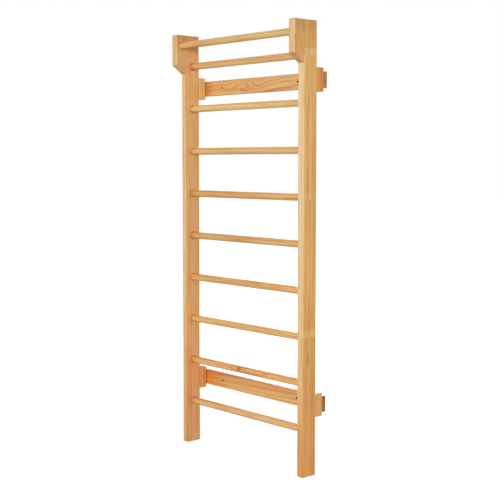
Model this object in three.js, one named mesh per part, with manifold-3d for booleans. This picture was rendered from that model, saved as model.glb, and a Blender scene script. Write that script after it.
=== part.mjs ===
// Swedish wall bars in pine: two posts with head blocks, nine ladder rungs, a pull-up bar held forward
// of them, and two wall rails on spacer blocks. Millimetres, +Z up, front towards -Y, wall at +Y.
// The origin is on the floor, in the middle of the overall width and depth.

import * as THREE from 'three';
import { mergeVertices } from 'three/addons/utils/BufferGeometryUtils.js';
import Module from 'manifold-3d';

// Ladder
const overallWidth = 908;
const ladderRungs = 9;
const rungPitch = 220;
const lowestRungHeight = 220;
const rungDiameter = 35;
const rungEndChamfer = 2;
const socketDepth = 25;

// Pull-up bar: the height of its axis above the highest ladder rung, and of the top above its axis
const barRise = 102;
const barToTop = 55;

// Posts and head blocks: the head's underside slopes down from its front to the post
const postWidth = 40;
const postDepth = 84;
const headDepth = 62;
const headFrontHeight = 154;
const headSlopeRise = 44;
const uprightArris = 4;

// Wall rails and spacer blocks: rail heights are measured from the nearest ladder rung's axis
const railHeight = 77;
const railThickness = 22;
const railArris = 3;
const upperRailBelowTopRung = 112;
const lowerRailAboveLowestRung = 114;
const spacerHeight = 112;
const spacerDepth = 44;
const spacerArris = 2;
const wallHoleDiameter = 9;
const wallHoleSpacing = 560;

// Countersunk screws that lock the rungs and the bar in their sockets
const rungScrewLength = 45;
const rungScrewDiameter = 4.5;
const rungScrewHeadDiameter = 9;
const rungScrewTip = 6;
const rungScrewInset = 10.5;
const rungScrewDriveWidth = 4;
const rungScrewDriveDepth = 2;

// Disc-head screws that hold the rails and the head blocks
const discScrewDiameter = 6;
const discScrewTip = 8;
const discHeadDiameter = 14;
const discHeadThickness = 3.5;
const discHeadBevel = 1;
const discHeadSink = 0.5;
const discDriveWidth = 5;
const discDriveDepth = 2.5;
const railScrewBite = 58;
const railScrewEdge = 16.5;
const headScrewBite = 40;
const headScrewAboveBar = 35;
const headScrewBelowBar = 52;

// Clearances: a glue line between flat faces, play round a rung and play round a screw
const glueLine = 0.2;
const socketPlay = 0.3;
const screwPlay = 0.3;

// Facets of the turned pieces, segments of a rounded arris, and how far a cutter runs past what it cuts
const rungFacets = 24;
const screwFacets = 10;
const driveFacets = 6;
const arrisSegments = 3;
const overcut = 5;

// Planes and heights that follow from the sizes above
const overallDepth = headDepth + postDepth + spacerDepth + railThickness;
const postMidY = -overallDepth / 2 + headDepth + postDepth / 2;
const postBackY = postMidY + postDepth / 2;
const railMidY = overallDepth / 2 - railThickness / 2;
const barY = -overallDepth / 2 + headDepth / 2;
const uprightX = (overallWidth - postWidth) / 2;
const topRungHeight = lowestRungHeight + (ladderRungs - 1) * rungPitch;
const barHeight = topRungHeight + barRise;
const overallHeight = barHeight + barToTop;
const headFrontFoot = overallHeight - headFrontHeight;
const headFoot = headFrontFoot - headSlopeRise;
const rungLength = overallWidth - 2 * (postWidth - socketDepth) - 2 * socketPlay;
const rungScrewX = overallWidth / 2 - postWidth + rungScrewInset;
const railScrewRise = railHeight / 2 - railScrewEdge;
const railScrewLength = railThickness - discHeadSink - discHeadThickness + spacerDepth + railScrewBite;
const headScrewLength = postDepth - discHeadSink - discHeadThickness + headScrewBite;

const sides = { left: -1, right: 1 };
const rails = {
  upper: topRungHeight - upperRailBelowTopRung,
  lower: lowestRungHeight + lowerRailAboveLowestRung,
};
const rungHeights = Array.from({ length: ladderRungs }, (_, i) => lowestRungHeight + i * rungPitch);
const headScrewHeights = [barHeight + headScrewAboveBar, barHeight - headScrewBelowBar];

const wasm = await Module();
wasm.setup();

// Turn a closed geometry into a solid that can be cut and joined.
function toSolid(geometry) {
  const bare = geometry.clone();
  bare.deleteAttribute('normal');
  bare.deleteAttribute('uv');
  const merged = mergeVertices(bare);
  const corners = merged.index.array;
  const kept = [];
  for (let i = 0; i < corners.length; i += 3) {
    const [a, b, c] = corners.slice(i, i + 3);
    if (a !== b && b !== c && c !== a) kept.push(a, b, c);
  }
  const vertProperties = merged.attributes.position.array;
  return new wasm.Manifold(new wasm.Mesh({ numProp: 3, vertProperties, triVerts: new Uint32Array(kept) }));
}

// Turn a solid back into a geometry with flat-shaded faces.
function toGeometry(solid) {
  const { vertProperties, triVerts } = solid.getMesh();
  const indexed = new THREE.BufferGeometry();
  indexed.setAttribute('position', new THREE.BufferAttribute(vertProperties, 3));
  indexed.setIndex(new THREE.BufferAttribute(triVerts, 1));
  const geometry = indexed.toNonIndexed();
  geometry.computeVertexNormals();
  return geometry;
}

function cutAway(geometry, cutters) {
  return toGeometry(cutters.reduce((solid, cutter) => solid.subtract(toSolid(cutter)), toSolid(geometry)));
}

// A board standing on Z = 0, centred in X and Y, with rounded long arrises and ends eased half as much.
function easedBoard(width, depth, length, arris) {
  const endEase = arris / 2;
  const x = width / 2 - arris;
  const y = depth / 2 - arris;
  const section = new THREE.Shape();
  section.absarc(x, y, arris, 0, Math.PI / 2);
  section.absarc(-x, y, arris, Math.PI / 2, Math.PI);
  section.absarc(-x, -y, arris, Math.PI, Math.PI * 1.5);
  section.absarc(x, -y, arris, Math.PI * 1.5, Math.PI * 2);
  const board = new THREE.ExtrudeGeometry(section, {
    depth: length - 2 * endEase,
    curveSegments: arrisSegments,
    bevelThickness: endEase,
    bevelSize: endEase,
    bevelOffset: -endEase,
    bevelSegments: 1,
  });
  return board.translate(0, 0, endEase);
}

// A body turned about Y from a profile of [radius, y] points, listed upwards.
function turned(profile, facets) {
  return new THREE.LatheGeometry(profile.map(([radius, y]) => new THREE.Vector2(radius, y)), facets);
}

function cylinder(radius, fromY, toY, facets) {
  return turned([[0, fromY], [radius, fromY], [radius, toY], [0, toY]], facets);
}

// A rung or bar along X with a pilot hole for the locking screw at each end. The screws start from a
// wood face that is screwFace away from the axis, in the direction of Y that its sign gives.
function rungGeometry(screwFace) {
  const radius = rungDiameter / 2;
  const end = rungLength / 2;
  const profile = [
    [0, -end],
    [radius - rungEndChamfer, -end],
    [radius, -end + rungEndChamfer],
    [radius, end - rungEndChamfer],
    [radius - rungEndChamfer, end],
    [0, end],
  ];
  const holes = Object.values(sides).map((side) => {
    return placedScrewHole(rungScrewHole(), side * rungScrewX, screwFace, 0);
  });
  return cutAway(turned(profile, rungFacets).rotateZ(-Math.PI / 2), holes);
}

// The blind socket of a rung in the inner side of a post or head block, whose middle is at X = 0.
function socket(side, y, z) {
  const mouth = postWidth / 2 + overcut;
  const floor = postWidth / 2 - socketDepth;
  const bore = cylinder(rungDiameter / 2 + socketPlay, floor, mouth, rungFacets);
  return bore.rotateZ(side * Math.PI / 2).translate(0, y, z);
}

// A countersunk screw driven towards -Y, with its head's face at Y = 0.
function rungScrewGeometry() {
  const radius = rungScrewDiameter / 2;
  const headRadius = rungScrewHeadDiameter / 2;
  const profile = [
    [0, -rungScrewLength],
    [radius, -rungScrewLength + rungScrewTip],
    [radius, radius - headRadius],
    [headRadius, 0],
    [0, 0],
  ];
  const drive = cylinder(rungScrewDriveWidth / 2, -rungScrewDriveDepth, overcut, driveFacets);
  return cutAway(turned(profile, screwFacets), [drive]);
}

function rungScrewHole() {
  const radius = rungScrewDiameter / 2;
  const headRadius = rungScrewHeadDiameter / 2;
  const profile = [
    [0, -rungScrewLength - screwPlay],
    [radius + screwPlay, -rungScrewLength - screwPlay],
    [radius + screwPlay, radius - headRadius],
    [headRadius + screwPlay, 0],
    [headRadius + screwPlay, overcut],
    [0, overcut],
  ];
  return turned(profile, screwFacets);
}

// A disc-head screw driven towards -Y from a face at Y = 0, with its head sunk below that face.
function discScrewGeometry(length) {
  const radius = discScrewDiameter / 2;
  const headRadius = discHeadDiameter / 2;
  const top = -discHeadSink;
  const seat = top - discHeadThickness;
  const profile = [
    [0, seat - length],
    [radius, seat - length + discScrewTip],
    [radius, seat],
    [headRadius, seat],
    [headRadius, top - discHeadBevel],
    [headRadius - discHeadBevel, top],
    [0, top],
  ];
  const drive = cylinder(discDriveWidth / 2, top - discDriveDepth, overcut, driveFacets);
  return cutAway(turned(profile, screwFacets), [drive]);
}

function discScrewHole(length) {
  const radius = discScrewDiameter / 2 + screwPlay;
  const headRadius = discHeadDiameter / 2 + screwPlay;
  const seat = -discHeadSink - discHeadThickness - screwPlay;
  const profile = [
    [0, seat - length],
    [radius, seat - length],
    [radius, seat],
    [headRadius, seat],
    [headRadius, overcut],
    [0, overcut],
  ];
  return turned(profile, screwFacets);
}

// Put a screw's hole on a face at height y, turned to the front where that face looks towards -Y.
function placedScrewHole(hole, x, y, z) {
  if (y < 0) hole.rotateZ(Math.PI);
  return hole.translate(x, y, z);
}

// The outline of the post and head block together, which are rounded over after gluing.
function uprightBlank() {
  const blank = easedBoard(postWidth, postDepth + headDepth, overallHeight, uprightArris);
  return blank.translate(0, -headDepth / 2, 0);
}

// A post, with the middle of its section at X = 0, Y = 0. Its front arrises stay square behind the head.
function postGeometry(side) {
  const front = -postDepth / 2;
  const back = postDepth / 2;
  const headZone = overallHeight - headFoot + overcut;
  const behindHead = new THREE.BoxGeometry(postWidth + overcut, postDepth / 2, headZone)
    .translate(0, front + postDepth / 4, headFoot + headZone / 2);
  const squared = toSolid(uprightBlank()).intersect(toSolid(behindHead));
  const blank = easedBoard(postWidth, postDepth, overallHeight, uprightArris);
  const rungScrewOffset = side * (rungScrewX - uprightX);
  const cutters = rungHeights.map((z) => socket(side, 0, z));
  for (const z of rungHeights) cutters.push(placedScrewHole(rungScrewHole(), rungScrewOffset, back, z));
  for (const z of headScrewHeights) cutters.push(discScrewHole(headScrewLength).translate(0, back, z));
  for (const railZ of Object.values(rails)) {
    for (const rise of [railScrewRise, -railScrewRise]) {
      const hole = discScrewHole(railScrewLength);
      cutters.push(hole.translate(0, back + spacerDepth + railThickness, railZ + rise));
    }
  }
  return cutAway(toGeometry(toSolid(blank).add(squared)), cutters);
}

// A head block in its post's frame: the part of the joint outline in front of the post, above the slope.
function headGeometry(side) {
  const front = -postDepth / 2 - headDepth;
  const back = -postDepth / 2 - glueLine;
  const slope = headSlopeRise / headDepth;
  const profile = new THREE.Shape([
    new THREE.Vector2(front - overcut, headFrontFoot + slope * overcut),
    new THREE.Vector2(back, headFoot + slope * glueLine),
    new THREE.Vector2(back, overallHeight + overcut),
    new THREE.Vector2(front - overcut, overallHeight + overcut),
  ]);
  const width = postWidth + 2 * overcut;
  const prism = new THREE.ExtrudeGeometry(profile, { depth: width, bevelEnabled: false });
  prism.translate(0, 0, -width / 2);
  const alongX = new THREE.Matrix4();
  alongX.makeBasis(new THREE.Vector3(0, 1, 0), new THREE.Vector3(0, 0, 1), new THREE.Vector3(1, 0, 0));
  const block = toSolid(uprightBlank()).intersect(toSolid(prism.applyMatrix4(alongX)));
  const cutters = [socket(side, -(postDepth + headDepth) / 2, barHeight)];
  cutters.push(placedScrewHole(rungScrewHole(), side * (rungScrewX - uprightX), front, barHeight));
  for (const z of headScrewHeights) {
    cutters.push(discScrewHole(headScrewLength).translate(0, postDepth / 2, z));
  }
  return cutAway(toGeometry(block), cutters);
}

// A rail along X, centred on the origin, with its back towards +Y.
function railGeometry() {
  const board = easedBoard(railHeight, railThickness, overallWidth, railArris);
  board.translate(0, 0, -overallWidth / 2).rotateY(Math.PI / 2);
  const back = railThickness / 2;
  const cutters = [];
  for (const side of Object.values(sides)) {
    const wallHole = cylinder(wallHoleDiameter / 2, -back - overcut, back + overcut, screwFacets);
    cutters.push(wallHole.translate(side * wallHoleSpacing / 2, 0, 0));
    for (const rise of [railScrewRise, -railScrewRise]) {
      cutters.push(discScrewHole(railScrewLength).translate(side * uprightX, back, rise));
    }
  }
  return cutAway(board, cutters);
}

// A spacer block centred on the origin, with a glue line left free at its front and back.
function spacerGeometry() {
  const depth = spacerDepth - 2 * glueLine;
  const block = easedBoard(postWidth, depth, spacerHeight, spacerArris);
  block.translate(0, 0, -spacerHeight / 2);
  const back = spacerDepth / 2 + railThickness;
  const cutters = [railScrewRise, -railScrewRise].map((rise) => {
    return discScrewHole(railScrewLength).translate(0, back, rise);
  });
  return cutAway(block, cutters);
}

const wallBars = new THREE.Group();

function addPiece(name, geometry, finish, x, y, z) {
  const piece = new THREE.Mesh(geometry, new THREE.MeshStandardMaterial(finish));
  piece.name = name;
  piece.position.set(x, y, z);
  wallBars.add(piece);
  return piece;
}

const postPine = { color: '#dcb380', roughness: 0.45, metalness: 0 };
const rungPine = { color: '#dfb678', roughness: 0.4, metalness: 0 };
const railPine = { color: '#dba968', roughness: 0.45, metalness: 0 };
const spacerPine = { color: '#d29a5e', roughness: 0.5, metalness: 0 };
const zincSteel = { color: '#b4b2a6', roughness: 0.35, metalness: 1 };

for (const [sideName, side] of Object.entries(sides)) {
  const x = side * uprightX;
  addPiece(`${sideName}_post`, postGeometry(side), postPine, x, postMidY, 0);
  addPiece(`${sideName}_head_block`, headGeometry(side), postPine, x, postMidY, 0);
  headScrewHeights.forEach((z, i) => {
    const screw = discScrewGeometry(headScrewLength);
    addPiece(`${sideName}_head_screw_${i + 1}`, screw, zincSteel, x, postBackY, z);
  });
  const barScrew = addPiece(`pull_up_bar_${sideName}_screw`, rungScrewGeometry(), zincSteel,
    side * rungScrewX, -overallDepth / 2, barHeight);
  barScrew.rotation.z = Math.PI;
}

rungHeights.forEach((z, i) => {
  addPiece(`rung_${i + 1}`, rungGeometry(postDepth / 2), rungPine, 0, postMidY, z);
  for (const [sideName, side] of Object.entries(sides)) {
    const screw = rungScrewGeometry();
    addPiece(`rung_${i + 1}_${sideName}_screw`, screw, zincSteel, side * rungScrewX, postBackY, z);
  }
});
addPiece('pull_up_bar', rungGeometry(-headDepth / 2), rungPine, 0, barY, barHeight);

for (const [railName, z] of Object.entries(rails)) {
  addPiece(`${railName}_wall_rail`, railGeometry(), railPine, 0, railMidY, z);
  for (const [sideName, side] of Object.entries(sides)) {
    const x = side * uprightX;
    const corner = `${railName}_${sideName}`;
    addPiece(`${corner}_spacer`, spacerGeometry(), spacerPine, x, postBackY + spacerDepth / 2, z);
    [railScrewRise, -railScrewRise].forEach((rise, i) => {
      const screw = discScrewGeometry(railScrewLength);
      addPiece(`${corner}_rail_screw_${i + 1}`, screw, zincSteel, x, overallDepth / 2, z + rise);
    });
  }
}

export default wallBars;
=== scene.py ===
import bpy
import bmesh
from math import pi, radians
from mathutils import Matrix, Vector


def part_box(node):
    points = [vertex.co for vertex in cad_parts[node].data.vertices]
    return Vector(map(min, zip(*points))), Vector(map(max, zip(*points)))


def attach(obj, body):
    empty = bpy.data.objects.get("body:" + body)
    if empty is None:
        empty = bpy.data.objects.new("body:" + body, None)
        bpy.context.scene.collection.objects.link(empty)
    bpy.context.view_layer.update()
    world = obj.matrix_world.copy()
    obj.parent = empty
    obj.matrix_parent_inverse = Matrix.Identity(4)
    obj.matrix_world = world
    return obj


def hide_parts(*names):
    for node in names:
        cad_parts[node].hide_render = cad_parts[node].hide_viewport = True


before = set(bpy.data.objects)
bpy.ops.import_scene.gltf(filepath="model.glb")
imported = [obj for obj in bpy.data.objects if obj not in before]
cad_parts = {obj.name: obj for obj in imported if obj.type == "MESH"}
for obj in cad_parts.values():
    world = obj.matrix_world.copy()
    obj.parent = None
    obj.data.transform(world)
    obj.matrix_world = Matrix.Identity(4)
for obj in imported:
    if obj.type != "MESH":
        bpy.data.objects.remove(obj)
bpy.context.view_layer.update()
mm = 0.001
tiny = 0.01 * mm  # closer than this counts as the same place
longEdge = 10 * mm  # a shorter edge is only a step of an arris
straight = 0.9  # a face looks along an axis when its normal is more than this
smoothAngle = radians(35)
print("frame:", len(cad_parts), "solids")


# small helpers

def onlyThis(piece):
    bpy.ops.object.select_all(action="DESELECT")
    piece.select_set(True)
    bpy.context.view_layer.objects.active = piece


def addSolid(name, addPrimitive, stretch=(1, 1, 1), **settings):
    # a fresh primitive at its size and place, with both put into the mesh
    bpy.ops.object.select_all(action="DESELECT")
    addPrimitive(**settings)
    piece = bpy.context.active_object
    piece.name = piece.data.name = name
    piece.scale = stretch
    bpy.ops.object.transform_apply(location=True, rotation=True, scale=True)
    return piece


def addBoard(name, low, high):
    return addSolid(name, bpy.ops.mesh.primitive_cube_add, high - low, size=1, location=(low + high) / 2)


def editPiece(piece, kind):
    # opens edit mode with nothing selected yet
    onlyThis(piece)
    bpy.ops.object.mode_set(mode="EDIT")
    bpy.ops.mesh.select_mode(type=kind)
    bpy.ops.mesh.select_all(action="DESELECT")
    return bmesh.from_edit_mesh(piece.data)


def editEdges(piece, wanted):
    # opens edit mode with the edges selected whose two ends pass the test
    for edge in editPiece(piece, "EDGE").edges:
        edge.select_set(wanted(*[vert.co for vert in edge.verts]))
    bmesh.update_edit_mesh(piece.data)


def editEnd(piece, up):
    # opens edit mode with the end face selected, at the top for 1 and at the bottom for -1
    for face in editPiece(piece, "FACE").faces:
        face.select_set(face.normal.z * up > straight)
    bmesh.update_edit_mesh(piece.data)


def roundEdges(piece, radius, steps, wanted):
    editEdges(piece, wanted)
    bpy.ops.mesh.bevel(offset=radius, segments=steps, profile=0.5, affect="EDGES")
    bpy.ops.object.mode_set(mode="OBJECT")


def splitAt(piece, place, normal):
    # an edge all round the piece, where a plane meets it
    editEdges(piece, lambda a, b: True)
    bpy.ops.mesh.bisect(plane_co=place, plane_no=normal)
    bpy.ops.object.mode_set(mode="OBJECT")


def cutWith(piece, cutters):
    # drills many holes in one go, as long as the cutters don't meet each other
    onlyThis(cutters[0])
    for cutter in cutters[1:]:
        cutter.select_set(True)
    bpy.ops.object.join()
    drill = bpy.context.active_object
    onlyThis(piece)
    cut = piece.modifiers.new("holes", "BOOLEAN")
    cut.operation = "DIFFERENCE"
    cut.solver = "EXACT"
    cut.object = drill
    bpy.ops.object.modifier_apply(modifier=cut.name)
    bpy.data.objects.remove(drill)
    bpy.ops.object.mode_set(mode="EDIT")
    bpy.ops.mesh.select_all(action="SELECT")
    bpy.ops.mesh.remove_doubles(threshold=tiny)  # where two cuts nearly meet
    bpy.ops.object.mode_set(mode="OBJECT")


def addDrill(centre, axis, radius, length, corners):
    turn = {"x": (0, pi / 2, 0), "y": (pi / 2, 0, 0)}[axis]
    return addSolid("drill", bpy.ops.mesh.primitive_cylinder_add, vertices=corners, radius=radius,
                    depth=length, location=centre, rotation=turn)


def smoothOver(piece):
    onlyThis(piece)
    bpy.ops.object.shade_smooth_by_angle(angle=smoothAngle)
    flats = piece.modifiers.new("flats", "WEIGHTED_NORMAL")  # keeps the flat faces flat beside the arrises
    flats.keep_sharp = True
    bpy.ops.object.modifier_apply(modifier=flats.name)


def copyTo(piece, name, move, turn=(0, 0, 0)):
    onlyThis(piece)
    bpy.ops.object.duplicate(linked=False)
    copy = bpy.context.active_object
    copy.name = copy.data.name = name
    copy.location = move
    copy.rotation_euler = turn
    bpy.ops.object.transform_apply(location=True, rotation=True, scale=True)
    return copy


def fitPiece(piece, node, finish):
    piece.data.materials.clear()
    piece.data.materials.append(finish)
    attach(piece, "root")
    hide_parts(node)


def middleOf(node):
    low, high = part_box(node)
    return (low + high) / 2


def linear(hexColour):
    parts = [int(hexColour[i:i + 2], 16) / 255 for i in (1, 3, 5)]
    return [c / 12.92 if c <= 0.04045 else ((c + 0.055) / 1.055) ** 2.4 for c in parts] + [1]


def addNode(tree, kind, settings={}, links={}):
    node = tree.nodes.new("ShaderNode" + kind)
    for key, value in settings.items():
        if key == "stops":
            ramp = node.color_ramp.elements
            while len(ramp) < len(value):
                ramp.new(1)
            for stop, (place, colour) in zip(ramp, value):
                stop.position, stop.color = place, linear(colour)
        elif isinstance(key, int) or key in node.inputs:
            node.inputs[key].default_value = value
        else:
            setattr(node, key, value)
    for key, source in links.items():
        tree.links.new(source, node.inputs[key])
    return node


def newMaterial(name):
    material = bpy.data.materials.new(name)
    material.use_nodes = True
    material.node_tree.nodes.clear()
    return material, material.node_tree


# camera: from the front right, a little above the middle of the ladder

cameraView = {"place": (3.9404, -3.4842, 1.4872), "azimuth": 48.284, "tilt": 4.131,
              "lens": 76.23, "sensor": 36, "shiftY": -0.024}

cameraData = bpy.data.cameras.new("camera")
cameraData.lens = cameraView["lens"]
cameraData.sensor_width = cameraView["sensor"]
cameraData.shift_y = cameraView["shiftY"]
camera = bpy.data.objects.new("camera", cameraData)
camera.location = cameraView["place"]
camera.rotation_euler = (radians(90 - cameraView["tilt"]), 0, radians(cameraView["azimuth"]))
bpy.context.scene.collection.objects.link(camera)
bpy.context.scene.camera = camera
bpy.context.scene.view_settings.view_transform = "Standard"
print("camera set")


# studio: a white sweep in even light, a lamp far off at the front right and a weaker one behind for the back
# the sky's light goes from the horizon to the zenith, and the floor's glow from near the feet to far off

studio = {"white": "#ffffff", "sky": {"To Min": 0.94, "To Max": 0.05},
          "floorSize": 60, "floorColour": "#9c9c9c",
          "glow": {"From Min": 0.6, "From Max": 3, "To Min": 0.84, "To Max": 0.98},
          "aim": (0, 0, 1.1),
          "lamps": {"key": {"place": (6.6, -10.0, 2.8), "size": 2.4, "watts": 895},
                    "back": {"place": (-3.4, 4.6, 2.6), "size": 2, "watts": 150}}}


def seenItself(tree):
    # 1 where the eye meets it, straight or in metal or glass, and 0 where it only gives light
    ray = addNode(tree, "LightPath").outputs
    seen = addNode(tree, "Math", {"operation": "MAXIMUM"}, {0: ray["Is Camera Ray"], 1: ray["Is Glossy Ray"]})
    seen = addNode(tree, "Math", {"operation": "MAXIMUM"},
                   {0: seen.outputs[0], 1: ray["Is Transmission Ray"]})
    return seen.outputs[0]


world = bpy.data.worlds.new("studio")
bpy.context.scene.world = world
world.use_nodes = True
tree = world.node_tree
tree.nodes.clear()
way = addNode(tree, "TexCoord")
way = addNode(tree, "SeparateXYZ", {}, {0: way.outputs["Generated"]})
level = addNode(tree, "MapRange", studio["sky"], {"Value": way.outputs["Z"]})
soft = addNode(tree, "Background", {"Color": linear(studio["white"])}, {"Strength": level.outputs[0]})
white = addNode(tree, "Background", {"Color": linear(studio["white"]), "Strength": 1})
sky = addNode(tree, "MixShader", {}, {0: seenItself(tree), 1: soft.outputs[0], 2: white.outputs[0]})
addNode(tree, "OutputWorld", {}, {"Surface": sky.outputs[0]})

# paper sweep: matt, with a glow of its own that keeps it white far off and leaves the shadow near the feet
floor = addSolid("floor", bpy.ops.mesh.primitive_plane_add, size=studio["floorSize"], location=(0, 0, 0))
paper, tree = newMaterial("white_paper_sweep")
away = addNode(tree, "TexCoord")
away = addNode(tree, "VectorMath", {"operation": "LENGTH"}, {0: away.outputs["Object"]})
glow = addNode(tree, "MapRange", studio["glow"], {"Value": away.outputs["Value"]})
glow = addNode(tree, "Math", {"operation": "MULTIPLY"}, {0: glow.outputs[0], 1: seenItself(tree)})
matt = addNode(tree, "BsdfDiffuse", {"Color": linear(studio["floorColour"])})
light = addNode(tree, "Emission", {"Color": linear(studio["white"])}, {"Strength": glow.outputs[0]})
both = addNode(tree, "AddShader", {}, {0: matt.outputs[0], 1: light.outputs[0]})
addNode(tree, "OutputMaterial", {}, {"Surface": both.outputs[0]})
floor.data.materials.append(paper)

for name, lamp in studio["lamps"].items():
    lampData = bpy.data.lights.new(name, "AREA")
    lampData.size = lamp["size"]
    lampData.energy = lamp["watts"]
    lampObject = bpy.data.objects.new(name, lampData)
    lampObject.location = lamp["place"]
    toAim = Vector(studio["aim"]) - lampObject.location
    lampObject.rotation_euler = toAim.to_track_quat("-Z", "Y").to_euler()
    bpy.context.scene.collection.objects.link(lampObject)
print("studio set")


# pine under clear lacquer: pale earlywood between darker growth rings that lie round the heart of the trunk,
# amber streaks along the grain, brown cut ends, sanded arrises and a soft even sheen

pineTones = {  # tints of the rings and of the streaks
    "straw": {"late": "#e2c494", "streak": "#e8cca0"},
    "honey": {"late": "#dfbd8c", "streak": "#e4c498"},
    "amber": {"late": "#d8b080", "streak": "#dcb488"},
    "rosy": {"late": "#e0c4a0", "streak": "#ecd4b8"},
}

# what a piece doesn't say for itself: ring, sway and swaySize are in mm, and swayRate draws the sway out
# along the grain
pineLook = {"ring": 7, "sway": 20, "swaySize": 45, "swayRate": 0.12, "lean": 0, "streakShare": 0.5,
            "cutEnd": "#d6b89c", "knots": []}

# what all pieces share: a tint starts at From Min and is full at From Max, a knot's reach, heart and edge are
# multiples of its size, and the forms draw a pattern out along the trunk
pineFigure = {"fingerWidth": 3 * mm, "fingerSlope": 3, "trunkStep": (0.1, 0.06, 30),
              "backReach": {"From Min": 2 * mm, "From Max": 28 * mm},
              # frontTurn sets how far round the arris the painted sheen of the front face reaches
              "frontTurn": {"From Min": 0.1, "From Max": 0.6},
              "knotStretch": 0.3, "knotReach": 5, "knotHeart": 0.4, "knotEdge": 2.4, "knotTint": "#c88e6a",
              "boldYears": {"To Min": 0.25, "To Max": 1},
              "lateRise": {"interpolation_type": "SMOOTHSTEP", "From Min": 0.35, "From Max": 0.97},
              "streakWidth": 14 * mm, "streakForm": (1, 1, 0.07),
              "streakRise": {"From Min": 0.42, "From Max": 0.66},
              # painted shade round the sockets
              "socketShadeRing": {"From Min": 22 * mm, "From Max": 18 * mm}, "socketShadeTint": "#bc8654",
              # painted warm shade and bounce light at the rung ends
              "rungEnd": {"From Min": 378 * mm, "From Max": 404 * mm}, "rungEndShadeTint": "#f5cfa7",
              # painted shade in the corners where the rails meet their spacers
              "railCornerShade": {"From Min": 7 * mm, "From Max": 2 * mm}, "railCornerShadeTint": "#b88450",
              # painted shade on the rails' top and bottom faces
              "railTopBottomShade": {"From Min": 0.3, "From Max": 0.8}, "railTopBottomShadeTint": "#c4b8ac",
              # painted shade in the wall bores
              "wallBoreShade": {"From Min": 5.6 * mm, "From Max": 4.8 * mm}, "wallBoreShadeTint": "#4a3422",
              "fibreWidth": 1.2 * mm, "fibreForm": (1, 1, 0.012),
              "fibreValue": {"From Min": 0.3, "From Max": 0.7, "To Min": 0.94, "To Max": 1.06},
              "cutTurn": {"From Min": 0.75, "From Max": 0.97}, "cutRingTint": "#6e4e38",
              "gloss": {"From Min": 0.3, "From Max": 0.7, "To Min": 0.4, "To Max": 0.52},
              "fibreRelief": 0.5, "relief": {"Strength": 0.1, "Distance": 0.5 * mm},
              "lacquer": {"IOR": 1.5, "Coat Weight": 0.15, "Coat Roughness": 0.3}}

rungPitch = middleOf("rung_2").z - middleOf("rung_1").z
tinted = {"data_type": "RGBA", "blend_type": "MULTIPLY"}  # a Mix that tints input 6 with 7, by the share 0


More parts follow.
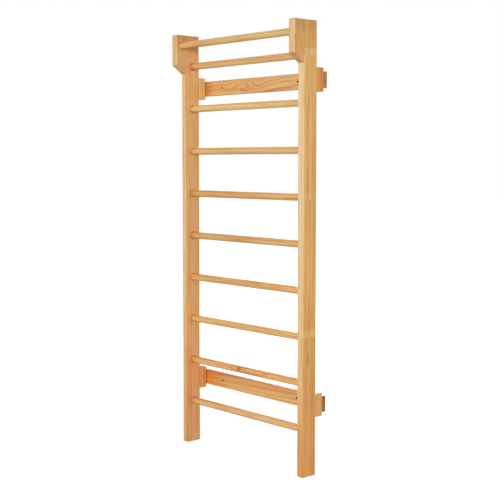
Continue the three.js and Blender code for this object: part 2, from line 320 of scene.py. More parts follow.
def lacqueredPine(name, look):
    material, tree = newMaterial(name)
    look = {**pineLook, **pineTones[look["tone"]], **look}
    figure = pineFigure
    alongX = look["grain"] == "x"
    seed = look["seed"]  # streaks and fibres add to it, so that they don't follow the sway
    where = addNode(tree, "TexCoord").outputs
    place = addNode(tree, "SeparateXYZ", {}, {0: where["Object"]}).outputs
    # local Z runs up the trunk, with the heart at local X = Y = 0
    lie = (0, pi / 2, 0) if alongX else (look["lean"], 0, 0)
    trunk = addNode(tree, "Mapping", {"vector_type": "TEXTURE", "Location": look["heart"], "Rotation": lie},
                    {"Vector": where["Object"]}).outputs[0]
    base = None
    tints = []  # pairs of a share and the tint that it brings

    def alongPiece(stops, height):
        # colours that change along the piece
        low, high = look["span"]
        part = addNode(tree, "MapRange", {"From Min": low, "From Max": high}, {"Value": height})
        stops = [((z - low) / (high - low), colour) for z, colour in stops]
        return addNode(tree, "ValToRGB", {"stops": stops}, {0: part.outputs[0]})

    if "staves" in look:
        # shorter staves are finger-jointed end to end, each from another trunk, and the fingers of the stave
        # above show as a pale band, so a band and its stave are from the same trunk
        finger = addNode(tree, "Math", {"operation": "PINGPONG", 1: figure["fingerWidth"]}, {0: place["Y"]})
        height = addNode(tree, "Math", {"operation": "MULTIPLY_ADD", 1: figure["fingerSlope"]},
                         {0: finger.outputs[0], 2: place["Z"]})
        stave = alongPiece(look["staves"], height.outputs[0])
        stave.color_ramp.interpolation = "CONSTANT"
        for stop, number in zip(stave.color_ramp.elements, look["trunks"]):
            stop.alpha = number / len(look["trunks"])
        shift = addNode(tree, "VectorMath", {"operation": "SCALE", 0: figure["trunkStep"]},
                        {"Scale": stave.outputs["Alpha"]})
        trunk = addNode(tree, "VectorMath", {"operation": "ADD"}, {0: trunk, 1: shift.outputs[0]}).outputs[0]
        base = stave.outputs[0]
    if "lengthTones" in look:
        base = alongPiece(look["lengthTones"], place["X" if alongX else "Z"]).outputs[0]
    if "staveTint" in look:
        # a stave isn't the same all along
        tint = alongPiece(look["staveTint"], place["Z"]).outputs[0]
        base = addNode(tree, "Mix", {**tinted, 0: 1}, {6: base, 7: tint}).outputs[2]
    if "backTint" in look:
        # the colour is darker towards the back
        back = addNode(tree, "MapRange", figure["backReach"], {"Value": place["Y"]})
        base = addNode(tree, "Mix", {**tinted, 7: linear(look["backTint"])},
                       {0: back.outputs[0], 6: base}).outputs[2]
    if "frontWoodAndSheen" in look:
        # painted sheen: the narrow front face is drawn paler than the sides of the same wood, round to the
        # middle of the arris, and its colours along the piece mix wood tone with painted sheen
        front = alongPiece(look["frontWoodAndSheen"], place["Z"]).outputs[0]
        if "edgeStop" in look:
            # the front colour is darker along one arris
            pale, dark, tint = look["edgeStop"]
            inRing = addNode(tree, "MapRange", {"From Min": pale, "From Max": dark}, {"Value": place["X"]})
            front = addNode(tree, "Mix", {**tinted, 7: linear(tint)},
                            {0: inRing.outputs[0], 6: front}).outputs[2]
        turn = addNode(tree, "VectorMath", {"operation": "DOT_PRODUCT", 1: (0, -1, 0)}, {0: where["Normal"]})
        share = addNode(tree, "MapRange", figure["frontTurn"], {"Value": turn.outputs["Value"]}).outputs[0]
        base = addNode(tree, "Mix", {"data_type": "RGBA"}, {0: share, 6: base, 7: front}).outputs[2]

    # the trunk isn't straight, and the rings sway with it
    slow = addNode(tree, "VectorMath", {"operation": "MULTIPLY", 1: (1, 1, look["swayRate"])}, {0: trunk})
    sway = addNode(tree, "TexNoise", {"noise_dimensions": "4D", "W": seed, "Detail": 1,
                                      "Scale": 1 / (look["swaySize"] * mm)}, {"Vector": slow.outputs[0]})
    swayed = addNode(tree, "VectorMath", {"operation": "MULTIPLY_ADD", 1: (look["sway"] * mm,) * 3},
                     {0: sway.outputs["Color"], 2: trunk})
    across = addNode(tree, "VectorMath", {"operation": "MULTIPLY", 1: (1, 1, 0)}, {0: swayed.outputs[0]})
    radius = addNode(tree, "VectorMath", {"operation": "LENGTH"}, {0: across.outputs[0]}).outputs["Value"]
    count = addNode(tree, "Math", {"operation": "DIVIDE", 1: look["ring"] * mm}, {0: radius}).outputs[0]

    stretch = figure["knotStretch"]
    knotForm = (stretch, 0, 1) if alongX else (0, 1, stretch)
    for spot, size, lift, depth in look["knots"]:
        # rings part round a knot or a small swirl, and the wood is redder there by its depth
        away = addNode(tree, "VectorMath", {"operation": "SUBTRACT", 1: spot}, {0: where["Object"]})
        away = addNode(tree, "VectorMath", {"operation": "MULTIPLY", 1: knotForm}, {0: away.outputs[0]})
        away = addNode(tree, "VectorMath", {"operation": "LENGTH"}, {0: away.outputs[0]}).outputs["Value"]
        push = addNode(tree, "MapRange", {"interpolation_type": "SMOOTHSTEP", "To Min": lift, "To Max": 0,
                                          "From Max": figure["knotReach"] * size * mm}, {"Value": away})
        count = addNode(tree, "Math", {"operation": "ADD"}, {0: count, 1: push.outputs[0]}).outputs[0]
        core = addNode(tree, "MapRange", {"interpolation_type": "SMOOTHSTEP", "To Min": depth, "To Max": 0,
                                          "From Min": figure["knotHeart"] * size * mm,
                                          "From Max": figure["knotEdge"] * size * mm}, {"Value": away})
        tints.append((core.outputs[0], figure["knotTint"]))

    # each year's ring darkens slowly and ends sharply, and some years are bolder
    step = addNode(tree, "Math", {"operation": "FRACT"}, {0: count})
    number = addNode(tree, "Math", {"operation": "FLOOR"}, {0: count})
    year = addNode(tree, "TexWhiteNoise", {"noise_dimensions": "1D"}, {"W": number.outputs[0]})
    bold = addNode(tree, "MapRange", figure["boldYears"], {"Value": year.outputs["Value"]})
    rise = addNode(tree, "MapRange", figure["lateRise"], {"Value": step.outputs[0]})
    late = addNode(tree, "Math", {"operation": "MULTIPLY"}, {0: rise.outputs[0], 1: bold.outputs[0]})
    late = late.outputs[0]
    rings = addNode(tree, "ValToRGB", {"stops": [(0, "#ffffff"), (1, look["late"])]}, {0: late})
    colour = addNode(tree, "Mix", {**tinted, 0: 1}, {7: rings.outputs[0]})
    if base:
        tree.links.new(base, colour.inputs[6])
    else:
        colour.inputs[6].default_value = linear(look["wood"])
    colour = colour.outputs[2]

    if "heartwood" in look:
        # redder wood near the heart
        inner, outer, tint = look["heartwood"]
        core = addNode(tree, "MapRange", {"interpolation_type": "SMOOTHSTEP", "From Min": outer * mm,
                                          "From Max": inner * mm}, {"Value": radius})
        tints.append((core.outputs[0], tint))

    # streaks 14 mm wide and about 200 mm long
    drawn = addNode(tree, "VectorMath", {"operation": "MULTIPLY", 1: figure["streakForm"]}, {0: trunk})
    streak = addNode(tree, "TexNoise", {"noise_dimensions": "4D", "W": seed + 3, "Detail": 3,
                                        "Scale": 1 / figure["streakWidth"]}, {"Vector": drawn.outputs[0]})
    share = addNode(tree, "MapRange", {**figure["streakRise"], "To Max": look["streakShare"]},
                    {"Value": streak.outputs[0]})
    tints.append((share.outputs[0], look["streak"]))

    if "sockets" in look:
        # painted shade: a darker ring round each socket up the inner face, where the rung meets the post, with
        # none at the foot
        y, z, inward = look["sockets"]
        up = addNode(tree, "Math", {"operation": "SUBTRACT", 1: z}, {0: place["Z"]})
        up = addNode(tree, "Math", {"operation": "PINGPONG", 1: rungPitch / 2}, {0: up.outputs[0]})
        side = addNode(tree, "Math", {"operation": "SUBTRACT", 1: y}, {0: place["Y"]})
        away = addNode(tree, "CombineXYZ", {}, {0: up.outputs[0], 1: side.outputs[0]})
        away = addNode(tree, "VectorMath", {"operation": "LENGTH"}, {0: away.outputs[0]})
        ring = addNode(tree, "MapRange", figure["socketShadeRing"], {"Value": away.outputs["Value"]})
        turn = addNode(tree, "VectorMath", {"operation": "DOT_PRODUCT", 1: (inward, 0, 0)},
                       {0: where["Normal"]})
        ring = addNode(tree, "Math", {"operation": "MULTIPLY", "use_clamp": True},
                       {0: ring.outputs[0], 1: turn.outputs["Value"]})
        above = addNode(tree, "Math", {"operation": "GREATER_THAN", 1: rungPitch / 2}, {0: place["Z"]})
        ring = addNode(tree, "Math", {"operation": "MULTIPLY"}, {0: ring.outputs[0], 1: above.outputs[0]})
        tints.append((ring.outputs[0], figure["socketShadeTint"]))
    if "endShadeShare" in look:
        # painted warm shade and bounce light: the end of a rung is darker and more orange where it goes into
        # its socket
        end = addNode(tree, "Math", {"operation": "ABSOLUTE"}, {0: place["X"]})
        end = addNode(tree, "MapRange", {**figure["rungEnd"], "To Max": look["endShadeShare"]},
                      {"Value": end.outputs[0]})
        tints.append((end.outputs[0], figure["rungEndShadeTint"]))
    if "spacerTopBottomShade" in look:
        # painted shade: darker in the corner where a rail meets its spacer
        corner = addNode(tree, "Math", {"operation": "ABSOLUTE"}, {0: place["X"]})
        corner = addNode(tree, "Math", {"operation": "SUBTRACT", 1: look["spacerTopBottomShade"]},
                         {0: corner.outputs[0]})
        corner = addNode(tree, "Math", {"operation": "ABSOLUTE"}, {0: corner.outputs[0]})
        corner = addNode(tree, "MapRange", figure["railCornerShade"], {"Value": corner.outputs[0]})
        tints.append((corner.outputs[0], figure["railCornerShadeTint"]))
        # painted shade: darker on the rail's top and bottom faces and their arrises
        edge = addNode(tree, "VectorMath", {"operation": "DOT_PRODUCT", 1: (0, 0, 1)}, {0: where["Normal"]})
        edge = addNode(tree, "Math", {"operation": "ABSOLUTE"}, {0: edge.outputs["Value"]})
        edge = addNode(tree, "MapRange", figure["railTopBottomShade"], {"Value": edge.outputs[0]})
        tints.append((edge.outputs[0], figure["railTopBottomShadeTint"]))
    if "wallHoles" in look:
        # painted shade: the bores and their rims are drawn dark brown
        x, z = look["wallHoles"]
        side = addNode(tree, "Math", {"operation": "ABSOLUTE"}, {0: place["X"]})
        side = addNode(tree, "Math", {"operation": "SUBTRACT", 1: x}, {0: side.outputs[0]})
        up = addNode(tree, "Math", {"operation": "SUBTRACT", 1: z}, {0: place["Z"]})
        away = addNode(tree, "CombineXYZ", {}, {0: side.outputs[0], 1: up.outputs[0]})
        away = addNode(tree, "VectorMath", {"operation": "LENGTH"}, {0: away.outputs[0]})
        bore = addNode(tree, "MapRange", figure["wallBoreShade"], {"Value": away.outputs["Value"]})
        tints.append((bore.outputs[0], figure["wallBoreShadeTint"]))
    for share, tint in tints:
        colour = addNode(tree, "Mix", {**tinted, 7: linear(tint)}, {0: share, 6: colour}).outputs[2]

    # wood fibres are finer than a pixel, so they are drawn 1.2 mm wide
    drawn = addNode(tree, "VectorMath", {"operation": "MULTIPLY", 1: figure["fibreForm"]}, {0: trunk})
    fibre = addNode(tree, "TexNoise", {"noise_dimensions": "4D", "W": seed + 7, "Detail": 2,
                                       "Scale": 1 / figure["fibreWidth"]}, {"Vector": drawn.outputs[0]})
    value = addNode(tree, "MapRange", figure["fibreValue"], {"Value": fibre.outputs[0]})
    colour = addNode(tree, "HueSaturation", {}, {"Value": value.outputs[0], "Color": colour}).outputs[0]

    # cut ends drink more lacquer and go brown, their rings most of all
    turn = addNode(tree, "VectorMath", {"operation": "DOT_PRODUCT", 1: (1, 0, 0) if alongX else (0, 0, 1)},
                   {0: where["Normal"]})
    turn = addNode(tree, "Math", {"operation": "ABSOLUTE"}, {0: turn.outputs["Value"]})
    cutEnd = addNode(tree, "MapRange", figure["cutTurn"], {"Value": turn.outputs[0]}).outputs[0]
    cutRing = addNode(tree, "Math", {"operation": "MULTIPLY"}, {0: cutEnd, 1: late}).outputs[0]
    for share, tint in ((cutEnd, look["cutEnd"]), (cutRing, figure["cutRingTint"])):
        colour = addNode(tree, "Mix", {**tinted, 7: linear(tint)}, {0: share, 6: colour}).outputs[2]

    # the lacquer evens out most of the grain, and leaves a little of it to feel
    gloss = addNode(tree, "MapRange", figure["gloss"], {"Value": fibre.outputs[0]})
    relief = addNode(tree, "Math", {"operation": "MULTIPLY_ADD", 1: figure["fibreRelief"]},
                     {0: fibre.outputs[0], 2: late})
    bump = addNode(tree, "Bump", figure["relief"], {"Height": relief.outputs[0]})
    skin = addNode(tree, "BsdfPrincipled", figure["lacquer"],
                   {"Base Color": colour, "Roughness": gloss.outputs[0], "Normal": bump.outputs[0]})
    addNode(tree, "OutputMaterial", {}, {"Surface": skin.outputs[0]})
    return material


# screw steel under bright zinc: a cool grey with a soft uneven shine

zincLook = {"bloom": 2 * mm, "tones": [(0.3, "#9b9279"), (0.7, "#bab094")],
            "gloss": {"To Min": 0.3, "To Max": 0.5}, "relief": {"Strength": 0.1, "Distance": 0.1 * mm}}

zinc, tree = newMaterial("zinc_plated_steel")
where = addNode(tree, "TexCoord")
bloom = addNode(tree, "TexNoise", {"Scale": 1 / zincLook["bloom"], "Detail": 3},
                {"Vector": where.outputs["Object"]})
colour = addNode(tree, "ValToRGB", {"stops": zincLook["tones"]}, {0: bloom.outputs[0]})
gloss = addNode(tree, "MapRange", zincLook["gloss"], {"Value": bloom.outputs[0]})
bump = addNode(tree, "Bump", zincLook["relief"], {"Height": bloom.outputs[0]})
skin = addNode(tree, "BsdfPrincipled", {"Metallic": 1},
               {"Base Color": colour.outputs[0], "Roughness": gloss.outputs[0], "Normal": bump.outputs[0]})
addNode(tree, "OutputMaterial", {}, {"Surface": skin.outputs[0]})
print("finishes mixed")


# holes that the rungs and screws need: sockets, cone sinks for the rung screws, flat sinks for the disc
# heads, and bores for the shanks

holes = {"socketRadius": 17.65 * mm, "socketDepth": 25 * mm, "socketCorners": 64,
         "coneRadius": 4.7 * mm, "coneDepth": 2.4 * mm, "conePast": 1 * mm,
         "discRadius": 7.15 * mm, "discDepth": 4.1 * mm, "corners": 32,
         "coneBore": 2.55 * mm, "discBore": 3.3 * mm, "tipRoom": 0.3 * mm, "boreCorners": 28,
         "past": 5 * mm}  # how far a drill stands out of the wood


def socketDrill(rung, face, side):
    mid, deep, past = middleOf(rung), holes["socketDepth"], holes["past"]
    centre = (face + side * (deep - past) / 2, mid.y, mid.z)
    return addDrill(centre, "x", holes["socketRadius"], deep + past, holes["socketCorners"])


def coneDrill(screw, face, inward):
    # the cone runs a little past the face, at the same slope
    mid, wide, deep, past = middleOf(screw), holes["coneRadius"], holes["coneDepth"], holes["conePast"]
    centre = (mid.x, face + inward * (deep - past) / 2, mid.z)
    return addSolid("drill", bpy.ops.mesh.primitive_cone_add, vertices=holes["corners"],
                    radius1=wide + past, radius2=wide - deep, depth=deep + past,
                    location=centre, rotation=(-inward * pi / 2, 0, 0))


def discDrill(screw, face):
    mid, deep, past = middleOf(screw), holes["discDepth"], holes["past"]
    centre = (mid.x, face - (deep - past) / 2, mid.z)
    return addDrill(centre, "y", holes["discRadius"], deep + past, holes["corners"])


def boreDrill(screw):
    # room for the shank of a screw, to just past its tip
    low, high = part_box(screw)
    radius = holes["coneBore"] if screw.startswith(("rung", "pull_up_bar")) else holes["discBore"]
    length = high.y - low.y + 2 * holes["tipRoom"]
    return addDrill(middleOf(screw), "y", radius, length, holes["boreCorners"])


# posts: rounded arrises, but square behind the head block, blind sockets inside and screw sinks at the back

postShape = {"arris": 4 * mm, "arrisSteps": 5, "endEase": 2 * mm, "endSteps": 3}
postFigure = {"tone": "honey", "grain": "z", "ring": 12, "swayRate": 0.2}
# the front faces' colours hold painted sheen as well as wood tone
postLooks = {
    "left_post": {"heart": (-0.517, 0.11, 0), "seed": 624.4, "late": "#f4dcb8", "streak": "#efcc9c",
                  "lengthTones": [(0.1, "#e8ad6b"), (0.35, "#ebb271"), (0.9, "#e9b26f"), (1.3, "#e8b674"),
                                 (1.9, "#edba77"), (2.06, "#e2a963"), (2.13, "#d49954")],
                  "frontWoodAndSheen": [(0.1, "#dcab6c"), (0.35, "#e5b67c"), (0.7, "#edc584"), (1.1, "#eecd93"),
                               (1.8, "#e9c189")],
                  "edgeStop": (-0.424, -0.418, "#e4d0b7"), "backTint": "#fdf7f0"},
    "right_post": {"heart": (0.356, 0.108, 0), "seed": 892.7, "late": "#f2d8b0", "streak": "#ecc690",
                   "staves": [(0, "#f2bc6e"), (0.3, "#efbc6b"), (0.664, "#fcda96"), (0.694, "#f5c170"),
                              (1.31, "#f7cd8d"), (1.336, "#f4c477"), (1.978, "#f3d092"), (2.008, "#ebbb6b")],
                   "trunks": [0, 1, 3, 3, 5, 5, 7, 7],
                   "staveTint": [(0.1, "#fef1ed"), (0.35, "#fef1ed"), (0.6, "#ffffff"), (0.69, "#fbf5ed"),
                                 (0.95, "#ffffff"), (1.34, "#fbf7f1"), (1.6, "#ffffff"), (2.06, "#ffffff"),
                                 (2.12, "#f3e8df")],
                   "frontWoodAndSheen": [(0.08, "#dba058"), (0.3, "#eab777"), (0.6, "#e9ca93"), (1, "#eed09e"),
                                (1.8, "#efd7a9")],
                   "edgeStop": (0.443, 0.453, "#f3e7d4"), "backTint": "#f9f1e7",
                   "knots": [((0.454, -0.012, 0.56), 6, 0.6, 0.5)]}}
rungNodes = sorted(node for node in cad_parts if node.startswith("rung_") and "screw" not in node)

for node, look in postLooks.items():
    low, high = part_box(node)
    name = node.split("_")[0]
    side = -1 if name == "left" else 1
    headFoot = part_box(name + "_head_block")[0].z
    post = addBoard(node + "_wood", low, high)
    splitAt(post, (0, 0, headFoot), (0, 0, 1))
    roundEdges(post, postShape["arris"], postShape["arrisSteps"],
               lambda a, b: abs(a.z - b.z) > longEdge and (a.y > 0 or max(a.z, b.z) < headFoot + tiny))
    roundEdges(post, postShape["endEase"], postShape["endSteps"],
               lambda a, b: (a - b).length > longEdge and abs(a.z - b.z) < tiny
               and (a.z < tiny or (a.z > high.z - tiny and max(a.y, b.y) > low.y + tiny)))
    inner = high.x if side < 0 else low.x
    drills = []
    shanks = []
    for rung in rungNodes:
        drills += [socketDrill(rung, inner, side), coneDrill(f"{rung}_{name}_screw", high.y, -1)]
        shanks.append(f"{rung}_{name}_screw")
    for i in (1, 2):
        drills.append(discDrill(f"{name}_head_screw_{i}", high.y))
        shanks += [f"{name}_head_screw_{i}", f"upper_{name}_rail_screw_{i}", f"lower_{name}_rail_screw_{i}"]
    cutWith(post, drills)
    cutWith(post, [boreDrill(screw) for screw in shanks])
    smoothOver(post)
    socket = middleOf("rung_1")
    look = {**postFigure, **look, "span": (low.z, high.z), "sockets": (socket.y, socket.z, -side)}
    fitPiece(post, node, lacqueredPine(node + "_pine", look))
print("posts shaped")


# head blocks: the underside slopes down to the post

headShape = {"slope": 44 * mm, "arris": 4 * mm, "arrisSteps": 5, "slopeEase": 2 * mm, "easeSteps": 3}
headFigure = {"tone": "honey", "grain": "z"}
# the front faces' colours hold painted sheen as well as wood tone
headLooks = {
    "left_head_block": {"heart": (-0.483, -0.163, 0), "ring": 12, "seed": 1052.2, "late": "#f0dcbc",
                        "lengthTones": [(1.96, "#e1b372"), (2.06, "#e1b476"), (2.12, "#d09a58")],
                        "frontWoodAndSheen": [(1.975, "#eac081"), (1.99, "#e8bc82")]},
    "right_head_block": {"heart": (0.359, 0.02, 2), "lean": 0.3, "ring": 10, "seed": 880.3, "late": "#ecd4ae",
                         "lengthTones": [(1.96, "#f1ba73"), (2.06, "#e5ae67"), (2.12, "#d5a061")],
                         "frontWoodAndSheen": [(1.975, "#efbb82"), (1.99, "#e8c28b")]}}

for node, look in headLooks.items():
    low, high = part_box(node)
    name = node.split("_")[0]
    side = -1 if name == "left" else 1
    head = addBoard(node + "_wood", low, high)
    editEdges(head, lambda a, b: max(a.y, b.y) < low.y + tiny and max(a.z, b.z) < low.z + tiny)
    bpy.ops.transform.translate(value=(0, 0, headShape["slope"]))
    bpy.ops.object.mode_set(mode="OBJECT")
    roundEdges(head, headShape["arris"], headShape["arrisSteps"],
               lambda a, b: abs(a.z - b.z) > longEdge and max(a.y, b.y) < low.y + tiny)
    roundEdges(head, headShape["slopeEase"], headShape["easeSteps"],
               lambda a, b: (a - b).length > longEdge and min(a.y, b.y) < high.y - tiny
               and abs(a.z - b.z) < headShape["slope"] + tiny)
    inner = high.x if side < 0 else low.x
    barScrew = f"pull_up_bar_{name}_screw"
    shanks = [barScrew, f"{name}_head_screw_1", f"{name}_head_screw_2"]
    cutWith(head, [socketDrill("pull_up_bar", inner, side), coneDrill(barScrew, low.y, 1)])
    cutWith(head, [boreDrill(screw) for screw in shanks])
    smoothOver(head)
    socket = middleOf("pull_up_bar")
    look = {**headFigure, **look, "span": (low.z, high.z), "sockets": (socket.y, socket.z, -side)}
    fitPiece(head, node, lacqueredPine(node + "_pine", look))
print("head blocks shaped")


# rungs and pull-up bar: one turned stick with eased ends, copied
# a heart is given in mm behind and above the rung's own middle, and a swirl by its X, its height above the
# middle and its size in mm, and how far it lifts the rings and reddens the wood

rungShape = {"corners": 64, "endEase": 2 * mm, "endSteps": 2, "inside": 416 * mm}
rungFigure = {"grain": "x", "ring": 9, "sway": 12, "streakShare": 0.7}
# a rung's end share sets how strong the painted warm shade and bounce light at its ends is
rungLooks = {
    "pull_up_bar": {"tone": "straw", "heart": (-14, -26), "seed": 817.6,
                    "lengthTones": [(-0.36, "#ecbd74"), (-0.2, "#e4bd7a")]},
    "rung_9": {"tone": "honey", "heart": (-10, -30), "seed": 341.8, "wood": "#e9bc76", "endShadeShare": 1},
    "rung_8": {"tone": "straw", "heart": (-49, -28), "seed": 419.7, "wood": "#ecc67e", "endShadeShare": 0.44},
    "rung_7": {"tone": "straw", "heart": (35, -7), "seed": 1458.1, "wood": "#e3b775", "endShadeShare": 0.45},
    "rung_6": {"tone": "honey", "heart": (14, 32), "seed": 655.2, "wood": "#e7b263", "endShadeShare": 0.38},
    "rung_5": {"tone": "honey", "heart": (3, -49), "seed": 673.0, "wood": "#e7ba75", "endShadeShare": 0.63,
               "swirls": [(-0.026, -4, 6, -1.2, 0.1)]},
    "rung_4": {"tone": "honey", "heart": (-10, 31), "seed": 410.7, "wood": "#ebbc71",
               "swirls": [(0.161, 3, 5, -1.2, 0), (-0.138, -2, 5, -1.2, 0)]},
    "rung_3": {"tone": "honey", "heart": (-20, -30), "seed": 1054.8, "wood": "#f1c67b",
               "swirls": [(0.062, -3, 4, -1, 0)]},
    "rung_2": {"tone": "amber", "heart": (28, 12), "seed": 546.9, "wood": "#f3b86a", "endShadeShare": 0.68,
               "swirls": [(-0.034, 1, 3.2, -0.9, 0.7), (0.165, -3, 4, -0.7, 0.15)]},
    "rung_1": {"tone": "straw", "heart": (25, -23), "seed": 1687.2, "wood": "#ecbc7b", "endShadeShare": 0.5},
}

low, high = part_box("rung_1")
stick = addSolid("stick", bpy.ops.mesh.primitive_cylinder_add, vertices=rungShape["corners"],
                 radius=(high.z - low.z) / 2, depth=high.x - low.x, rotation=(0, pi / 2, 0))
roundEdges(stick, rungShape["endEase"], rungShape["endSteps"], lambda a, b: abs(a.x - b.x) < tiny)
for side in (-1, 1):
    # the part inside the socket is set off, so that the bore there leaves the rest smooth
    splitAt(stick, (side * rungShape["inside"], 0, 0), (1, 0, 0))
for node, look in rungLooks.items():
    low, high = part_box(node)
    mid = middleOf(node)
    rung = copyTo(stick, node + "_wood", mid)
    cutWith(rung, [boreDrill(node + "_left_screw"), boreDrill(node + "_right_screw")])
    smoothOver(rung)
    behind, above = look["heart"]
    heart = mid + Vector((0, behind * mm, above * mm))
    knots = []
    for x, up, size, lift, depth in look.get("swirls", []):
        knots.append(((x, mid.y, mid.z + up * mm), size, lift, depth))
    look = {**rungFigure, **look, "span": (low.x, high.x), "heart": heart, "knots": knots}
    fitPiece(rung, node, lacqueredPine(node + "_pine", look))
bpy.data.objects.remove(stick)
print("rungs shaped")


# wall rails with holes for the wall screws

railShape = {"arris": 3 * mm, "arrisSteps": 4, "endEase": 1.5 * mm, "endSteps": 2,
             "wallHole": 4.5 * mm, "wallHoleX": 280 * mm, "wallDrill": 40 * mm}
railFigure = {"tone": "honey", "grain": "x"}
# at the left end of each rail, the colours along it hold painted shade and warm bounce light beside the spacer
railLooks = {
    "upper_wall_rail": {"heart": (0, 0.179, 1.799), "ring": 12, "sway": 24, "swaySize": 90, "swayRate": 0.25,
                        "seed": 209.6, "late": "#e8c090", "cutEnd": "#f1d0a4",
                        "lengthTones": [(-0.41, "#c5853d"), (-0.34, "#e7ba73"), (-0.1, "#dfb16f"),
                                       (0.3, "#deb777")],
                        "knots": [((-0.12, 0.128, 1.882), 8, -1.5, 0),
                                  ((-0.128, 0.128, 1.851), 2.2, -0.8, 0.45),
                                  ((-0.096, 0.128, 1.846), 2.2, -0.8, 0.6),
                                  ((-0.01, 0.128, 1.868), 7, 0.8, 0),
                                  ((0.32, 0.128, 1.868), 20, -1.2, 0)]},
    "lower_wall_rail": {"heart": (0, 0.213, 0.408), "ring": 14, "sway": 40, "swaySize": 110,
                        "seed": 811.8, "late": "#e9cda4", "cutEnd": "#cab081",
                        "lengthTones": [(-0.41, "#dd9542"), (-0.33, "#e7a757"), (-0.2, "#e4b670")],
                        "heartwood": (120, 150, "#f4e0d0")}}

for node, look in railLooks.items():
    low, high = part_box(node)
    mid = middleOf(node)
    name = node.split("_")[0]
    rail = addBoard(node + "_wood", low, high)
    roundEdges(rail, railShape["arris"], railShape["arrisSteps"], lambda a, b: abs(a.x - b.x) > longEdge)
    roundEdges(rail, railShape["endEase"], railShape["endSteps"],
               lambda a, b: abs(a.x - b.x) < tiny and (a - b).length > longEdge)
    shanks = [f"{name}_{side}_rail_screw_{i}" for side in ("left", "right") for i in (1, 2)]
    drills = [discDrill(screw, high.y) for screw in shanks]
    for side in (-1, 1):
        drills.append(addDrill((side * railShape["wallHoleX"], mid.y, mid.z), "y", railShape["wallHole"],
                               railShape["wallDrill"], holes["corners"]))
    cutWith(rail, drills)
    cutWith(rail, [boreDrill(screw) for screw in shanks])
    smoothOver(rail)
    look = {**railFigure, **look, "span": (low.x, high.x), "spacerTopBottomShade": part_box(name + "_right_spacer")[0].x,
            "wallHoles": (railShape["wallHoleX"], mid.z)}
    fitPiece(rail, node, lacqueredPine(node + "_pine", look))
print("rails shaped")


# spacer blocks between the posts and the rails

spacerShape = {"arris": 2 * mm, "arrisSteps": 3}
spacerFigure = {"grain": "z", "sway": 16, "cutEnd": "#b09a80"}
spacerLooks = {
    "upper_left_spacer": {"tone": "rosy", "heart": (-0.454, 0.13, 0), "seed": 1187.8, "wood": "#f0c887"},
    "upper_right_spacer": {"tone": "amber", "heart": (0.414, 0.14, 0), "seed": 1813.2, "wood": "#eba547"},
    "lower_left_spacer": {"tone": "amber", "heart": (-0.404, 0.095, 0), "seed": 1107.8, "wood": "#f1ac5d"},
    "lower_right_spacer": {"tone": "rosy", "heart": (0.44, 0.161, 0), "seed": 1761.2, "wood": "#f6ba75"}}

for node, look in spacerLooks.items():
    spacer = addBoard(node + "_wood", *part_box(node))
    roundEdges(spacer, spacerShape["arris"], spacerShape["arrisSteps"], lambda a, b: True)
    cutWith(spacer, [boreDrill(f"{node.replace('spacer', 'rail')}_screw_{i}") for i in (1, 2)])
    smoothOver(spacer)
    fitPiece(spacer, node, lacqueredPine(node + "_pine", {**spacerFigure, **look}))
print("spacers shaped")


# screws: a countersunk one with a cross drive and a disc head with a hex drive, each made once and copied
# they are modelled upright, head up at Z = 0, and laid down when they are copied

screwShape = {"corners": 32, "tipShare": 0.06,
              "coneHead": 4.5 * mm, "coneShank": 2.25 * mm, "coneLength": 45 * mm, "coneTip": 6 * mm,
              "crossWidth": 4.4 * mm, "crossSlot": 1.1 * mm, "crossDepth": 2 * mm, "crossTaper": 0.45,
              "discHead": 7 * mm, "discThick": 3.5 * mm, "discBevel": 1 * mm, "bevelSteps": 3,
              "discShank": 3 * mm, "discTip": 8 * mm, "hexRadius": 2.9 * mm, "hexDepth": 2.5 * mm}


def growEnd(piece, up, rise, spread):
    # pulls the end face out by rise and widens or narrows it
    editEnd(piece, up)
    bpy.ops.mesh.extrude_region_move(TRANSFORM_OT_translate={"value": (0, 0, up * rise)})
    bpy.ops.transform.resize(value=(spread, spread, 1), center_override=(0, 0, 0))
    bpy.ops.object.mode_set(mode="OBJECT")


def addShank(name, radius, bottom, top):
    return addSolid(name, bpy.ops.mesh.primitive_cylinder_add, vertices=screwShape["corners"], radius=radius,
                    depth=top - bottom, location=(0, 0, (top + bottom) / 2))


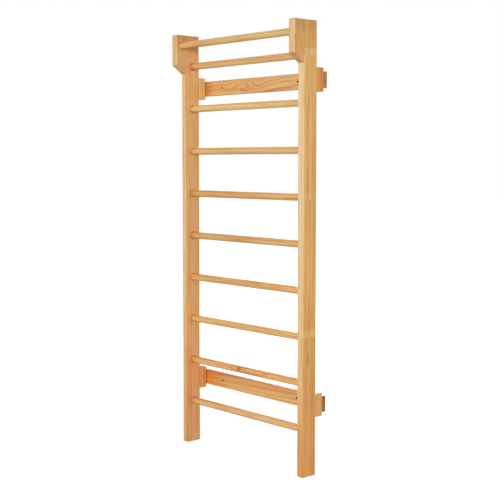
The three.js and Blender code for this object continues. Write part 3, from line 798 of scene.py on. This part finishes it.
def makeConeScrew(shape):
    headTall = shape["coneHead"] - shape["coneShank"]  # a 90 degree cone
    screw = addShank("coneScrew", shape["coneShank"], shape["coneTip"] - shape["coneLength"], -headTall)
    growEnd(screw, 1, headTall, shape["coneHead"] / shape["coneShank"])
    growEnd(screw, -1, shape["coneTip"], shape["tipShare"])
    taper = shape["crossTaper"]
    for turn in (0, pi / 2):
        slot = addSolid("slot", bpy.ops.mesh.primitive_cube_add,
                        (shape["crossWidth"], shape["crossSlot"], 2 * shape["crossDepth"]),
                        size=1, location=(0, 0, 0), rotation=(0, 0, turn))
        editEnd(slot, -1)
        bpy.ops.transform.resize(value=(taper, taper, 1), center_override=(0, 0, 0))
        bpy.ops.object.mode_set(mode="OBJECT")
        cutWith(screw, [slot])
    smoothOver(screw)
    return screw


def makeDiscScrew(shape, length):
    screw = addShank("discScrew", shape["discShank"], shape["discTip"] - length, -shape["discThick"])
    growEnd(screw, -1, shape["discTip"], shape["tipShare"])
    growEnd(screw, 1, 0, shape["discHead"] / shape["discShank"])
    growEnd(screw, 1, shape["discThick"], 1)
    roundEdges(screw, shape["discBevel"], shape["bevelSteps"], lambda a, b: min(a.z, b.z) > -tiny)
    drive = addSolid("hex", bpy.ops.mesh.primitive_cylinder_add, vertices=6, radius=shape["hexRadius"],
                     depth=2 * shape["hexDepth"], location=(0, 0, 0))
    cutWith(screw, [drive])
    smoothOver(screw)
    return screw


coneScrew = makeConeScrew(screwShape)
discScrews = {}  # by length
for node in sorted(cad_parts):
    if "screw" in node:
        low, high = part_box(node)
        mid = middleOf(node)
        master = coneScrew
        if "rail_screw" in node or "head_screw" in node:
            length = round(high.y - low.y, 4)
            if length not in discScrews:
                discScrews[length] = makeDiscScrew(screwShape, high.y - low.y)
            master = discScrews[length]
        forward = "pull_up_bar" in node  # these two are driven in from the front
        screw = copyTo(master, node + "_metal", (mid.x, low.y if forward else high.y, mid.z),
                       (pi / 2 if forward else -pi / 2, 0, 0))
        fitPiece(screw, node, zinc)
for master in [coneScrew, *discScrews.values()]:
    bpy.data.objects.remove(master)
print("screws shaped")
